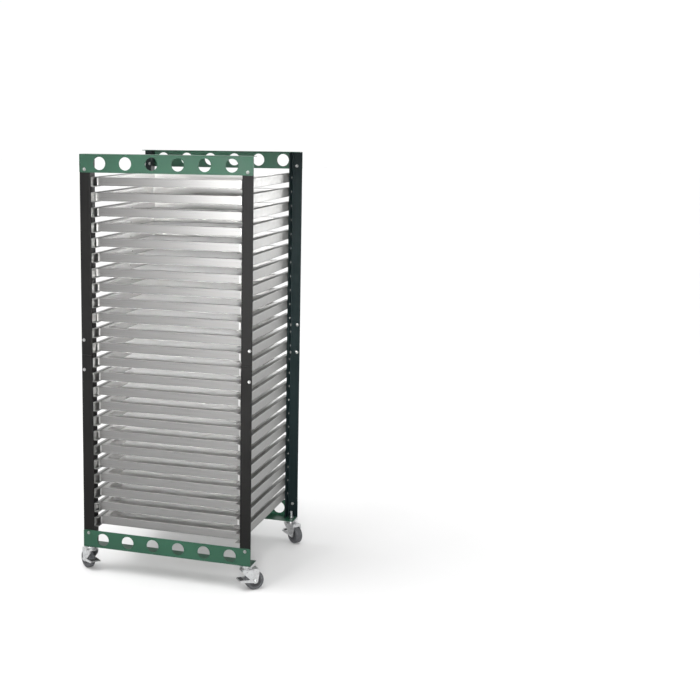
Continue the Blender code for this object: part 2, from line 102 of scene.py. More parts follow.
class Graph:
    """Short calls for one material's node tree."""

    def __init__(self, name: str) -> None:
        """Start a material with its Principled shader.

        Args:
            name: The material's name.
        """
        self.material = bpy.data.materials.new(name)
        self.material.use_nodes = True
        self.tree = self.material.node_tree
        self.shader = self.tree.nodes["Principled BSDF"]

    def node(self, kind: str, inputs: dict | None = None, **settings: object) -> bpy.types.Node:
        """Add a node.

        Args:
            kind: Blender's node type.
            inputs: Values or sockets for its inputs, by name or number.
            settings: Properties of the node itself.

        Returns:
            The new node.
        """
        made = self.tree.nodes.new(kind)
        for key, value in settings.items():
            setattr(made, key, value)
        for key, value in (inputs or {}).items():
            self.feed(made.inputs[key], value)
        return made

    def feed(self, target: Socket, value: object) -> None:
        """Link a socket to an input, or set the input's own value."""
        if isinstance(value, Socket):
            self.tree.links.new(value, target)
        else:
            target.default_value = value

    def set(self, **inputs: object) -> None:
        """Set inputs of the shader, with underscores for the spaces in their names."""
        for key, value in inputs.items():
            self.feed(self.shader.inputs[key.replace("_", " ")], value)

    def coords(self, output: str, scale: Sequence[float] = (1.0, 1.0, 1.0)) -> Socket:
        """Texture coordinates, stretched.

        Args:
            output: UV or Object.
            scale: Factor along each axis.

        Returns:
            The scaled vector.
        """
        source = self.node("ShaderNodeTexCoord").outputs[output]
        return self.node("ShaderNodeMapping", {"Vector": source, "Scale": scale}).outputs["Vector"]

    def noise(self, vector: Socket, scale: float, detail: float = 3.0,
              rough: float = 0.55) -> Socket:
        """Noise value at a vector."""
        inputs = {"Vector": vector, "Scale": scale, "Detail": detail, "Roughness": rough}
        return self.node("ShaderNodeTexNoise", inputs).outputs["Fac"]

    def cells(self, vector: Socket, scale: float) -> Socket:
        """A random grey for each crystal-like cell."""
        found = self.node("ShaderNodeTexVoronoi", {"Vector": vector, "Scale": scale}).outputs["Color"]
        return self.node("ShaderNodeSeparateColor", {"Color": found}).outputs["Red"]

    def spread(self, value: Socket, low: float, high: float, start: float = 0.0,
               end: float = 1.0) -> Socket:
        """Map a value from start..end to low..high, held at the ends."""
        inputs = {"Value": value, "From Min": start, "From Max": end, "To Min": low, "To Max": high}
        return self.node("ShaderNodeMapRange", inputs).outputs["Result"]

    def ramp(self, value: Socket, stops: Sequence[tuple[float, Colour]]) -> Socket:
        """Colours along a value.

        Args:
            value: The driving value.
            stops: Positions and linear colours.

        Returns:
            The colour socket.
        """
        made = self.node("ShaderNodeValToRGB", {"Fac": value})
        elements = made.color_ramp.elements
        while len(elements) < len(stops):
            elements.new(0.5)
        for element, (position, colour) in zip(elements, stops):
            element.position = position
            element.color = (*colour, 1.0)
        return made.outputs["Color"]

    def math(self, operation: str, first: object, second: object) -> Socket:
        """Combine two values."""
        return self.node("ShaderNodeMath", {0: first, 1: second}, operation=operation).outputs["Value"]

    def blend(self, factor: object, first: object, second: object) -> Socket:
        """Mix two colours."""
        made = self.node("ShaderNodeMix", data_type="RGBA")
        sockets = {item.identifier: item for item in made.inputs}
        self.feed(sockets["Factor_Float"], factor)
        self.feed(sockets["A_Color"], first)
        self.feed(sockets["B_Color"], second)
        return next(item for item in made.outputs if item.identifier == "Result_Color")

    def bump(self, height: Socket, strength: float, distance: float) -> None:
        """Raise the surface by a height value, in metres for a height of 1."""
        inputs = {"Height": height, "Strength": strength, "Distance": distance}
        self.set(Normal=self.node("ShaderNodeBump", inputs).outputs["Normal"])


def shade(colour: Colour, factor: float) -> Colour:
    """A colour made darker or lighter."""
    return tuple(min(1.0, channel * factor) for channel in colour)


@dataclass(frozen=True)
class Finish:
    """A surface finish, with one material shared by its pieces."""

    name: str
    colour: Colour
    roughness: float

    def material(self) -> bpy.types.Material:
        """The finish's material, made at its first use."""
        found = bpy.data.materials.get(self.name)
        if found is None:
            graph = Graph(self.name)
            self.paint(graph)
            found = graph.material
        return found

    def paint(self, graph: Graph) -> None:
        """Fill the node tree. Each kind of finish has its own."""
        raise NotImplementedError


@dataclass(frozen=True)
class Enamel(Finish):
    """Baked enamel on steel: fine orange peel, soft clouding and a few pale scuffs."""

    scuff: Colour = (0.2, 0.2, 0.2)
    shine: float = 0.3
    peel: float = 0.00005

    def paint(self, graph: Graph) -> None:
        """Fill the node tree."""
        place = graph.coords("Object")
        cloud = graph.noise(place, 7.0, 4.0)
        grain = graph.noise(place, 420.0, 2.0)
        scratch = graph.noise(graph.coords("Object", (160.0, 160.0, 22.0)), 1.0, 5.0, 0.7)
        worn = graph.spread(scratch, 0.0, 1.0, 0.73, 0.80)
        base = graph.ramp(cloud, [(0.3, shade(self.colour, 0.86)), (0.7, shade(self.colour, 1.14))])
        coat = graph.blend(graph.math("MULTIPLY", worn, 0.55), base, (*self.scuff, 1.0))
        rough = graph.spread(cloud, self.roughness - 0.06, self.roughness + 0.06, 0.3, 0.7)
        graph.set(Base_Color=coat, Roughness=rough, Specular_IOR_Level=self.shine)
        graph.bump(grain, 0.5, self.peel)


@dataclass(frozen=True)
class Galvanised(Finish):
    """Zinc-coated sheet with its crystal spangle."""

    def paint(self, graph: Graph) -> None:
        """Fill the node tree."""
        place = graph.coords("Object")
        spangle = graph.cells(place, 95.0)
        fine = graph.noise(place, 60.0, 5.0)
        both = graph.math("ADD", graph.math("MULTIPLY", spangle, 0.6), graph.math("MULTIPLY", fine, 0.4))
        base = graph.ramp(both, [(0.2, shade(self.colour, 0.86)), (0.8, shade(self.colour, 1.1))])
        rough = graph.spread(spangle, self.roughness - 0.08, self.roughness + 0.1)
        graph.set(Base_Color=base, Roughness=rough, Metallic=1.0)
        graph.bump(fine, 0.3, 0.0001)


@dataclass(frozen=True)
class Brushed(Finish):
    """Mill-drawn aluminium, with fine lines along each bar.

    The bars' tops and inner sides are coloured lighter than their outer sides and undersides: a painted
    highlight. The ground welds at the bar ends are brighter metal.
    """

    # Painted highlight colour of the tops and inner sides, and the colour of the ground welds
    highlight_and_weld_colour: Colour = (0.7, 0.7, 0.7)
    outer_run: float = 0.062
    weld_start: float = 0.295
    weld_shine: float = 0.6
    blur: float = 0.003

    def paint(self, graph: Graph) -> None:
        """Fill the node tree."""
        lines = graph.noise(graph.coords("UV", (6.0, 2600.0, 1.0)), 1.0, 4.0, 0.65)
        handled = graph.noise(graph.coords("UV", (5.0, 150.0, 1.0)), 1.0, 4.0, 0.6)
        both = graph.math("ADD", graph.math("MULTIPLY", lines, 0.6), graph.math("MULTIPLY", handled, 0.4))
        plain_tone = graph.ramp(both, [(0.3, shade(self.colour, 0.84)), (0.7, shade(self.colour, 1.12))])
        bright = graph.ramp(both, [(0.3, shade(self.highlight_and_weld_colour, 0.88)), (0.7, shade(self.highlight_and_weld_colour, 1.08))])
        place = graph.node("ShaderNodeSeparateXYZ", {"Vector": graph.coords("UV")}).outputs
        # Painted highlight: past the bottom and the outer side, the tops and inner sides take the lighter
        # colour
        painted_highlight_mask = graph.spread(place["Y"], 0.0, 1.0, self.outer_run, self.outer_run + self.blur)
        from_middle = graph.math("ABSOLUTE", place["X"], 0.0)
        weld = graph.spread(from_middle, 0.0, self.weld_shine, self.weld_start, self.weld_start + self.blur)
        base = graph.blend(graph.math("MAXIMUM", painted_highlight_mask, weld), plain_tone, bright)
        rough = graph.spread(both, self.roughness - 0.07, self.roughness + 0.09, 0.3, 0.7)
        graph.set(Base_Color=base, Roughness=rough, Metallic=1.0)
        along = graph.node("ShaderNodeTangent", direction_type="UV_MAP").outputs["Tangent"]
        graph.set(Anisotropic=0.6, Anisotropic_Rotation=0.25, Tangent=along)
        graph.bump(lines, 0.25, 0.00008)


@dataclass(frozen=True)
class Woven(Finish):
    """Plain-woven monofilament mesh."""

    thread: float = 0.0009

    def paint(self, graph: Graph) -> None:
        """Fill the node tree."""
        per_metre = math.pi / (5.0 * self.thread)
        place = graph.coords("UV")
        waves = []
        for direction in ("X", "Y"):
            inputs = {"Vector": place, "Scale": per_metre}
            wave = graph.node("ShaderNodeTexWave", inputs, wave_type="BANDS", bands_direction=direction)
            waves.append(wave.outputs["Fac"])
        over = graph.math("MAXIMUM", *waves)
        stain = graph.noise(place, 9.0, 4.0)
        tone = graph.math("ADD", graph.math("MULTIPLY", over, 0.5), graph.math("MULTIPLY", stain, 0.5))
        base = graph.ramp(tone, [(0.35, shade(self.colour, 0.84)), (0.8, shade(self.colour, 1.06))])
        graph.set(Base_Color=base, Roughness=self.roughness, Sheen_Weight=0.3, Sheen_Roughness=0.35)
        graph.bump(over, 0.5, self.thread / 4.0)


@dataclass(frozen=True)
class Plated(Finish):
    """Bright zinc plate on small steel parts."""

    def paint(self, graph: Graph) -> None:
        """Fill the node tree."""
        place = graph.coords("Object")
        cloud = graph.noise(place, 90.0, 4.0)
        fine = graph.noise(place, 900.0, 3.0)
        stops = [(0.3, shade(self.colour, 0.82)), (0.55, self.colour), (0.75, shade(self.colour, 1.1))]
        rough = graph.spread(cloud, self.roughness - 0.08, self.roughness + 0.12, 0.3, 0.7)
        graph.set(Base_Color=graph.ramp(cloud, stops), Roughness=rough, Metallic=1.0)
        graph.bump(fine, 0.2, 0.00005)


@dataclass(frozen=True)
class Rubber(Finish):
    """Matt rubber or moulded plastic, with dust in its grain."""

    dust: Colour = (0.2, 0.2, 0.2)

    def paint(self, graph: Graph) -> None:
        """Fill the node tree."""
        place = graph.coords("Object")
        cloud = graph.noise(place, 55.0, 5.0)
        fine = graph.noise(place, 1100.0, 3.0)
        stops = [(0.35, shade(self.colour, 0.85)), (0.6, shade(self.colour, 1.1)), (0.78, self.dust)]
        rough = graph.spread(fine, self.roughness - 0.08, self.roughness + 0.08, 0.3, 0.7)
        graph.set(Base_Color=graph.ramp(cloud, stops), Roughness=rough)
        graph.bump(fine, 0.35, 0.0001)


@dataclass(frozen=True)
class PaleFloor(Finish):
    """Pale studio floor."""

    def paint(self, graph: Graph) -> None:
        """Fill the node tree."""
        cloud = graph.noise(graph.coords("Object"), 0.7, 3.0)
        base = graph.ramp(cloud, [(0.3, shade(self.colour, 0.98)), (0.7, shade(self.colour, 1.01))])
        graph.set(Base_Color=base, Roughness=self.roughness, Specular_IOR_Level=0.2)


GREEN_ENAMEL = Enamel("green_enamel_coat", (0.0110, 0.049, 0.0280), 0.38, (0.06, 0.13, 0.095), 0.28)
BLACK_ENAMEL = Enamel("black_enamel_coat", (0.0026, 0.0025, 0.0023), 0.42, (0.02, 0.02, 0.019), 0.16)
# Rear posts: the black enamel darkened and tinted green, painted shade and a painted green reflection of
# the plates
BLACK_ENAMEL_PAINTED_GREEN_REFLECTION = Enamel("black_enamel_painted_shade_and_green_reflection", (0.0018, 0.0060, 0.0064), 0.44, (0.012, 0.02, 0.02), 0.12)
RAIL_ZINC = Galvanised("galvanised_sheet", (0.27, 0.27, 0.263), 0.44)
# The second colour is the painted highlight on the bars' tops and inner sides, and the ground welds' colour
FRAME_ALUMINIUM = Brushed("drawn_aluminium", (0.225, 0.2235, 0.220), 0.31, (0.66, 0.655, 0.646))
SCREEN_MESH = Woven("woven_mesh", (0.72, 0.71, 0.70), 0.42)
BRIGHT_ZINC = Plated("bright_zinc", (0.56, 0.565, 0.57), 0.30)
# Bolts and screws: zinc plate like the casters', coloured darker as painted shade for their dim reflections
ZINC_PAINTED_DIM = Plated("zinc_painted_dim_reflection", (0.30, 0.30, 0.295), 0.4)
TYRE_RUBBER = Rubber("tyre_rubber", (0.060, 0.062, 0.066), 0.66, (0.12, 0.12, 0.12))
HUB_NYLON = Rubber("hub_nylon", (0.030, 0.031, 0.034), 0.48, (0.06, 0.06, 0.06))
PEDAL_PAD = Rubber("pedal_pad", (0.018, 0.018, 0.019), 0.60, (0.05, 0.05, 0.05))
STUDIO_FLOOR = PaleFloor("studio_floor", (0.66, 0.66, 0.66), 0.6)


def rounded(outline: Sequence[Point], radius: float | Sequence[float], steps: int = 5) -> list[Point]:
    """Round the corners of a closed outline.

    Args:
        outline: Its corner points in order.
        radius: One radius, or one for each corner.
        steps: Segments in each rounded corner.

    Returns:
        The outline with arcs for corners.
    """
    radii = list(radius) if isinstance(radius, Sequence) else [radius] * len(outline)
    points: list[Point] = []
    for index, corner in enumerate(outline):
        here = Vector(corner)
        if radii[index] <= 0.0:
            points.append(corner)
            continue
        back = (Vector(outline[index - 1]) - here).normalized()
        ahead = (Vector(outline[(index + 1) % len(outline)]) - here).normalized()
        half = 0.5 * back.angle(ahead)
        centre = here + (back + ahead).normalized() * (radii[index] / math.sin(half))
        start = here + back * (radii[index] / math.tan(half)) - centre
        sweep = start.angle_signed(here + ahead * (radii[index] / math.tan(half)) - centre)
        for step in range(steps + 1):
            turn = -sweep * step / steps
            point = centre + Matrix.Rotation(turn, 2) @ start
            points.append((point.x, point.y))
    return points


def box_outline(low: Point, high: Point) -> list[Point]:
    """The corners of a rectangle, anticlockwise."""
    return [low, (high[0], low[1]), high, (low[0], high[1])]


def from_side(side: float, low: float, high: float) -> Point:
    """The two ends of a span, first the one on the side that a sign names."""
    return (high, low) if side > 0 else (low, high)


def arc(centre: Point, radius: float, start: float, end: float, steps: int) -> list[Point]:
    """Points along an arc, with angles in degrees."""
    points = []
    for step in range(steps + 1):
        angle = math.radians(start + (end - start) * step / steps)
        points.append((centre[0] + radius * math.cos(angle), centre[1] + radius * math.sin(angle)))
    return points


def ring(radius: float, sides: int) -> list[Point]:
    """The corners of an even polygon about the origin."""
    return arc((0.0, 0.0), radius, 0.0, 360.0 - 360.0 / sides, sides - 1)


def rod(radius: float, low: float, high: float) -> list[Point]:
    """A turned profile for a plain rod."""
    return [(0.0, low), (radius, low), (radius, high), (0.0, high)]


def to_mesh(name: str, bm: bmesh.types.BMesh) -> Mesh:
    """Turn a bmesh with outward faces into a mesh, and free it."""
    bmesh.ops.recalc_face_normals(bm, faces=bm.faces)
    mesh = bpy.data.meshes.new(name)
    bm.to_mesh(mesh)
    bm.free()
    return mesh


def prism(name: str, outline: Sequence[Point], length: float, place: Matrix = IDENTITY,
          mitres: tuple[float, float] = (0.0, 0.0)) -> Mesh:
    """A bar swept along its own Z, with UVs in metres: u along the bar and v round it.

    Args:
        name: The mesh's name.
        outline: The section's points.
        length: The bar's length, centred on its origin.
        place: Where the bar goes.
        mitres: How far each end leans in for each metre of the section's x.

    Returns:
        A closed mesh.
    """
    bm = bmesh.new()
    uv = bm.loops.layers.uv.new("UVMap")
    ends = []
    for sign, lean in zip((-1.0, 1.0), mitres):
        ends.append([Vector((x, y, sign * (0.5 * length - lean * x))) for x, y in outline])
    rings = [[bm.verts.new(place @ point) for point in end] for end in ends]
    run = 0.0
    for index, point in enumerate(outline):
        following = (index + 1) % len(outline)
        after = run + (Vector(outline[following]) - Vector(point)).length
        face = bm.faces.new((rings[0][index], rings[0][following], rings[1][following], rings[1][index]))
        along = (ends[0][index].z, ends[0][following].z, ends[1][following].z, ends[1][index].z)
        for loop, u, v in zip(face.loops, along, (run, after, after, run)):
            loop[uv].uv = (u, v)
        run = after
    for cap in rings:
        face = bm.faces.new(cap)
        for loop, point in zip(face.loops, outline):
            loop[uv].uv = point
    return to_mesh(name, bm)


def turned(name: str, profile: Sequence[Point], steps: int, place: Matrix = IDENTITY,
           closed: bool = False) -> Mesh:
    """A shape turned about Z, with UVs in metres.

    Args:
        name: The mesh's name.
        profile: (radius, height) points; radius 0 closes an end.
        steps: Segments round the axis.
        place: Where the shape goes.
        closed: Whether the profile joins up with itself, as for a ring.

    Returns:
        A closed mesh.
    """
    bm = bmesh.new()
    uv = bm.loops.layers.uv.new("UVMap")
    rings = []
    for radius, height in profile:
        if radius <= 0.0:
            rings.append([bm.verts.new(place @ Vector((0.0, 0.0, height)))] * steps)
            continue
        angles = [2.0 * math.pi * step / steps for step in range(steps)]
        points = [Vector((radius * math.cos(a), radius * math.sin(a), height)) for a in angles]
        rings.append([bm.verts.new(place @ point) for point in points])
    pairs = list(zip(rings, rings[1:]))
    if closed:
        pairs.append((rings[-1], rings[0]))
    for row, (first, second) in enumerate(pairs):
        for step in range(steps):
            after = (step + 1) % steps
            corners = (first[step], first[after], second[after], second[step])
            face = bm.faces.new(list(dict.fromkeys(corners)))
            for loop in face.loops:
                loop[uv].uv = (step / steps, row * 0.001)
    return to_mesh(name, bm)


def joined(name: str, meshes: Iterable[Mesh]) -> Mesh:
    """One mesh that holds several, which are then removed."""
    bm = bmesh.new()
    for mesh in meshes:
        bm.from_mesh(mesh)
        bpy.data.meshes.remove(mesh)
    whole = bpy.data.meshes.new(name)
    bm.to_mesh(whole)
    bm.free()
    return whole


def copies(name: str, mesh: Mesh, places: Iterable[Matrix]) -> Mesh:
    """One mesh that holds a copy of another at each place."""
    made = []
    for place in places:
        copy = mesh.copy()
        copy.transform(place)
        made.append(copy)
    return joined(name, made)


def evaluated(holder: bpy.types.Object) -> Mesh:
    """An object's mesh with its modifiers applied. The object is removed."""
    depsgraph = bpy.context.evaluated_depsgraph_get()
    mesh = bpy.data.meshes.new_from_object(holder.evaluated_get(depsgraph))
    bpy.data.objects.remove(holder, do_unlink=True)
    return mesh


def in_scene(name: str, data: bpy.types.ID) -> bpy.types.Object:
    """A new object in the scene, round a mesh, light or camera."""
    made = bpy.data.objects.new(name, data)
    bpy.context.scene.collection.objects.link(made)
    return made


def carved(mesh: Mesh, tool: Mesh, operation: str = "DIFFERENCE") -> Mesh:
    """Cut, join or meet a mesh with another.

    Args:
        mesh: The mesh to change.
        tool: The other mesh.
        operation: DIFFERENCE, UNION or INTERSECT.

    Returns:
        The changed mesh.
    """
    holder = in_scene(mesh.name, mesh)
    helper = in_scene(tool.name, tool)
    boolean = holder.modifiers.new("carve", "BOOLEAN")
    boolean.operation = operation
    boolean.solver = "EXACT"
    boolean.object = helper
    result = evaluated(holder)
    bpy.data.objects.remove(helper, do_unlink=True)
    return result


def softened(mesh: Mesh, width: float, segments: int = 2, angle: float = 40.0) -> Mesh:
    """Round off a mesh's sharp edges, with even shading on its flats.

    Args:
        mesh: The mesh to soften.
        width: Width of the rounding, in metres.
        segments: Steps in the rounding.
        angle: Edges sharper than this many degrees are rounded.

    Returns:
        The softened mesh.
    """
    mesh.shade_smooth()
    holder = in_scene(mesh.name, mesh)
    bevel = holder.modifiers.new("soften", "BEVEL")
    bevel.width = width
    bevel.segments = segments
    bevel.limit_method = "ANGLE"
    bevel.angle_limit = math.radians(angle)
    bevel.use_clamp_overlap = True
    weighted = holder.modifiers.new("even", "WEIGHTED_NORMAL")
    weighted.weight = 80
    return evaluated(holder)


def smoothed(mesh: Mesh) -> Mesh:
    """Shade a turned mesh smooth, apart from its sharp edges."""
    mesh.shade_smooth()
    mesh.set_sharp_from_angle(angle=SMOOTH_ANGLE)
    return mesh


def add_piece(name: str, mesh: Mesh, body: str, finish: Finish,
              place: Matrix = IDENTITY, stands_for: Sequence[str] = ()) -> bpy.types.Object:
    """Add a finished piece to the rack.

    Args:
        name: The piece's name.
        mesh: Its mesh, which several pieces may share.
        body: The CAD body that it moves with.
        finish: Its surface finish.
        place: Where it goes.
        stands_for: CAD nodes that it replaces.

    Returns:
        The new object.
    """
    if not mesh.materials:
        mesh.materials.append(finish.material())
    piece = in_scene(name, mesh)
    piece.matrix_world = place
    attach(piece, body)
    if stands_for:
        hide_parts(*stands_for)
    LOG.info("%s on %s, %d faces", name, body, len(mesh.polygons))
    return piece


def raised(height: float) -> Matrix:
    """A move straight up."""
    return Matrix.Translation((0.0, 0.0, height))


def lying_along(axis: str) -> Matrix:
    """Turn a shape from its own Z to lie along X or Y."""
    if axis == "X":
        return Matrix(((0, 0, 1, 0), (1, 0, 0, 0), (0, 1, 0, 0), (0, 0, 0, 1)))
    return Matrix.Rotation(math.radians(-90.0), 4, "X")


def facing(point: Sequence[float], direction: Sequence[float]) -> Matrix:
    """Place a shape at a point with its own Z along a direction."""
    return Matrix.Translation(point) @ Vector(direction).to_track_quat("Z", "Y").to_matrix().to_4x4()


def wheel_ring(name: str, side: list[Point]) -> Mesh:
    """A ring turned about Y, from the profile of one side and its mirror image."""
    other = [(radius, -height) for radius, height in reversed(side)]
    return smoothed(turned(name, side + other, 64, lying_along("Y"), closed=True))


@dataclass
class Fastener:
    """A machine screw seen from outside: washer, hexagon head, and its nut and thread end behind."""

    head_radius: float = 0.0052
    head_height: float = 0.0034
    washer_radius: float = 0.0066
    washer_sheet: float = 0.0010
    thread_radius: float = 0.0028
    thread_end: float = 0.0050
    dish: float = 0.0005
    chamfer: float = 0.0014
    overlap: float = 0.001
    washer_soft: float = 0.0002
    thread_turns: int = 7

    def washer(self) -> Mesh:
        """A flat washer, standing on the plane z = 0."""
        disc = rod(self.washer_radius, 0.0, self.washer_sheet)
        return softened(turned("washer", disc, 28), self.washer_soft, 1)

    def hexagon(self) -> Mesh:
        """A hexagon with turned-down corners, on top of the washer."""
        base = self.washer_sheet
        top = base + self.head_height
        middle = raised(0.5 * (base + top))
        block = prism("hexagon", ring(self.head_radius, 6), top - base, middle)
        flat = 0.86 * self.head_radius
        cone = [(0.0, base - self.overlap), (1.2 * self.head_radius, base - self.overlap)]
        cone += [(1.2 * self.head_radius, top - self.chamfer), (flat, top)]
        cone += [(0.45 * self.head_radius, top), (0.40 * self.head_radius, top - self.dish)]
        cone += [(0.0, top - self.dish)]
        return smoothed(carved(block, turned("cone", cone, 36), "INTERSECT"))

    def head(self) -> Mesh:
        """The head and its washer, standing on the plane z = 0."""
        return joined("bolt_head", [self.washer(), self.hexagon()])

    def nut(self) -> Mesh:
        """The washer, nut and thread end, standing on the plane z = 0."""
        top = self.washer_sheet + self.head_height
        end = top + self.thread_end
        rim = self.thread_radius
        profile = [(0.0, top - self.overlap)]
        for turn in range(self.thread_turns):
            low = top - self.overlap + turn * (end - top) / self.thread_turns
            profile += [(rim - 0.0003, low), (rim, low + 0.0003)]
        profile += [(rim - 0.0006, end), (0.0, end)]
        thread = smoothed(turned("thread", profile, 20))
        return joined("bolt_nut", [self.washer(), self.hexagon(), thread])


@dataclass
class RailScrew:
    """A small pan-head screw with a cross recess."""

    radius: float = 0.0046
    height: float = 0.0026
    recess: float = 0.0013
    arm: float = 0.0026
    slit: float = 0.0006

    def head(self) -> Mesh:
        """The head, standing on the plane z = 0."""
        profile = [(0.0, 0.0), (self.radius, 0.0), (self.radius, 0.35 * self.height)]
        profile += [(0.93 * self.radius, 0.66 * self.height), (0.72 * self.radius, 0.9 * self.height)]
        profile += [(0.4 * self.radius, self.height), (0.0, self.height)]
        pan = turned("pan", profile, 24)
        middle = raised(self.height)
        for size in ((self.arm, self.slit), (self.slit, self.arm)):
            slot = prism("cross", box_outline((-size[0], -size[1]), size), 2.0 * self.recess, middle)
            pan = carved(pan, slot)
        return smoothed(pan)


@dataclass
class Frame:
    """Posts, splice angles and cross plates, with the bolts that hold them."""

    sheet: float = 0.003
    plate_sheet: float = 0.002
    splice_sheet: float = 0.003
    seat_gap: float = 0.0003
    heel_radius: float = 0.0022
    edge_radius: float = 0.0006
    toe_radius: float = 0.0012
    root_radius: float = 0.0028
    post_soft: float = 0.0005
    plate_soft: float = 0.00045
    plate_corner: float = 0.004
    punch_length: float = 0.02
    trim_spare: float = 0.01
    bend_radius: float = 0.0034
    hole_radius: float = 0.0255
    hole_spacing: float = 0.109
    hole_count: int = 6
    stem_hole_radius: float = 0.0056
    splice_bolt_edge: float = 0.0105
    splice_bolt_depth: float = 0.0150
    splice_bolt_rise: float = 0.060
    plate_bolt_edge: float = 0.0120
    bolt: Fastener = field(default_factory=Fastener)

    def angle_section(self, low: Vector, high: Vector, corner: Corner, sheet: float) -> list[Point]:
        """An angle's section in plan, with a rolled root and rounded toes.

        Args:
            low: Lowest corner of its box.
            high: Highest corner of its box.
            corner: The rack corner that it stands at.
            sheet: Its thickness.

        Returns:
            The rounded outline.
        """
        side_x, side_y = corner.sides
        outer_x, inner_x = from_side(side_x, low.x, high.x)
        face_y, deep_y = from_side(side_y, low.y, high.y)
        step_x = side_x * sheet
        step_y = -side_y * sheet
        outline = [
            (inner_x, face_y),
            (outer_x, face_y),
            (outer_x, face_y + step_y),
            (inner_x + step_x, face_y + step_y),
            (inner_x + step_x, deep_y),
            (inner_x, deep_y),
        ]
        radii = [self.heel_radius, self.edge_radius, self.toe_radius]
        radii += [self.root_radius, self.toe_radius, self.edge_radius]
        return rounded(outline, radii, 4)

    def upright(self, node: str, corner: Corner, sheet: float) -> None:
        """Replace one upright angle of the CAD model by a rolled one.

        Args:
            node: The CAD node.
            corner: The rack corner that it stands at.
            sheet: Its thickness.
        """
        low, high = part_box(node)
        section = self.angle_section(low, high, corner, sheet)
        middle = raised(0.5 * (low.z + high.z))
        mesh = softened(prism(node, section, high.z - low.z, middle), self.post_soft)
        # Rear posts take the black enamel with painted shade and a painted green reflection
        finish = BLACK_ENAMEL_PAINTED_GREEN_REFLECTION if corner.sides[1] > 0 else BLACK_ENAMEL
        add_piece(f"{node}_rolled", mesh, RACK, finish, stands_for=[node])

    def plate(self, node: str, side_y: int, at_top: bool) -> None:
        """Replace one cross plate by a folded sheet with clean round holes.

        Args:
            node: The CAD node.
            side_y: -1 at the front, 1 at the rear.
            at_top: Whether it is a top plate, whose flange is at its upper edge.
        """
        low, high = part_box(node)
        face_y, deep_y = from_side(side_y, low.y, high.y)
        fold_z, free_z = (high.z, low.z) if at_top else (low.z, high.z)
        step_y = -side_y * self.plate_sheet
        step_z = -self.plate_sheet if at_top else self.plate_sheet
        outline = [
            (face_y, free_z),
            (face_y, fold_z),
            (deep_y, fold_z),
            (deep_y, fold_z + step_z),
            (face_y + step_y, fold_z + step_z),
            (face_y + step_y, free_z),
        ]
        inner = self.bend_radius - self.plate_sheet
        section = rounded(outline, [0.0, self.bend_radius, 0.0, 0.0, inner, 0.0], 6)
        mesh = prism(node, section, high.x - low.x, lying_along("X"))
        middle_z = 0.5 * (low.z + high.z)
        first = -0.5 * (self.hole_count - 1) * self.hole_spacing
        along_y = lying_along("Y")
        drill = prism("drill", ring(self.hole_radius, 48), self.punch_length)
        across = [first + k * self.hole_spacing for k in range(self.hole_count)]
        spots = [Vector((x, face_y, middle_z)) for x in across]
        mesh = carved(mesh, copies("drills", drill, [Matrix.Translation(s) @ along_y for s in spots]))
        if not at_top:
            stems = [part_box(f"caster_mount_{c.label}") for c in Corner if c.sides[1] == side_y]
            punch = prism("punch", ring(self.stem_hole_radius, 24), self.punch_length)
            spots = [Vector((*(0.5 * (a + b)).xy, fold_z)) for a, b in stems]
            mesh = carved(mesh, copies("punches", punch, [Matrix.Translation(s) for s in spots]))
        trim = prism("trim", self.trim_outline(low, high, free_z, at_top), 1.0, lying_along("Y"))
        mesh = carved(mesh, trim, "INTERSECT")
        mesh = softened(mesh, self.plate_soft)
        add_piece(f"{node}_folded", mesh, RACK, GREEN_ENAMEL, stands_for=[node])

    def trim_outline(self, low: Vector, high: Vector, free_z: float, at_top: bool) -> list[Point]:
        """A plate seen from the front, with z turned over, for a trim along Y.

        Args:
            low: Lowest corner of the plate's box.
            high: Highest corner of the plate's box.
            free_z: Height of its free edge, whose corners are rounded.
            at_top: Whether it is a top plate.

        Returns:
            The rounded outline.
        """
        past = high.z + self.trim_spare if at_top else low.z - self.trim_spare
        outline = [(low.x, -past), (high.x, -past), (high.x, -free_z), (low.x, -free_z)]
        return rounded(outline, [0.0, 0.0, self.plate_corner, self.plate_corner], 6)

    def bolt_places(self, corner: Corner) -> tuple[list[Matrix], list[Matrix]]:
        """Where a corner's bolt heads and nuts go.

        Args:
            corner: The rack corner.

        Returns:
            Places of the heads and of the nuts, with their own Z standing out of the sheet.
        """
        side_x, side_y = corner.sides
        low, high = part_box(f"post_{corner.label}_lower")
        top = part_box(f"post_{corner.label}_upper")[1].z
        middle = 0.5 * (low.z + top)
        outer_x, inner_x = from_side(side_x, low.x, high.x)
        face_y = from_side(side_y, low.y, high.y)[0]
        behind = self.sheet + self.splice_sheet + self.seat_gap
        heads = []
        nuts = []
        for rise in (-self.splice_bolt_rise, self.splice_bolt_rise):
            x = outer_x - side_x * self.splice_bolt_edge
            heads.append(facing((x, face_y, middle + rise), (0, side_y, 0)))
            nuts.append(facing((x, face_y - side_y * behind, middle + rise), (0, -side_y, 0)))
            y = face_y - side_y * self.splice_bolt_depth
            heads.append(facing((inner_x + side_x * behind, y, middle + rise), (side_x, 0, 0)))
        for level, inward in (("top", 1.0), ("base", -1.0)):
            place = "front" if side_y < 0 else "rear"
            plate_low, plate_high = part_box(f"cross_plate_{place}_{level}")
            free_z = from_side(inward, plate_low.z, plate_high.z)[1]
            z = free_z + inward * self.plate_bolt_edge
            x = 0.5 * (outer_x + inner_x)
            outside = from_side(side_y, plate_low.y, plate_high.y)[0]
            heads.append(facing((x, outside, z), (0, side_y, 0)))
            nuts.append(facing((x, face_y - side_y * self.sheet, z), (0, -side_y, 0)))
        return heads, nuts

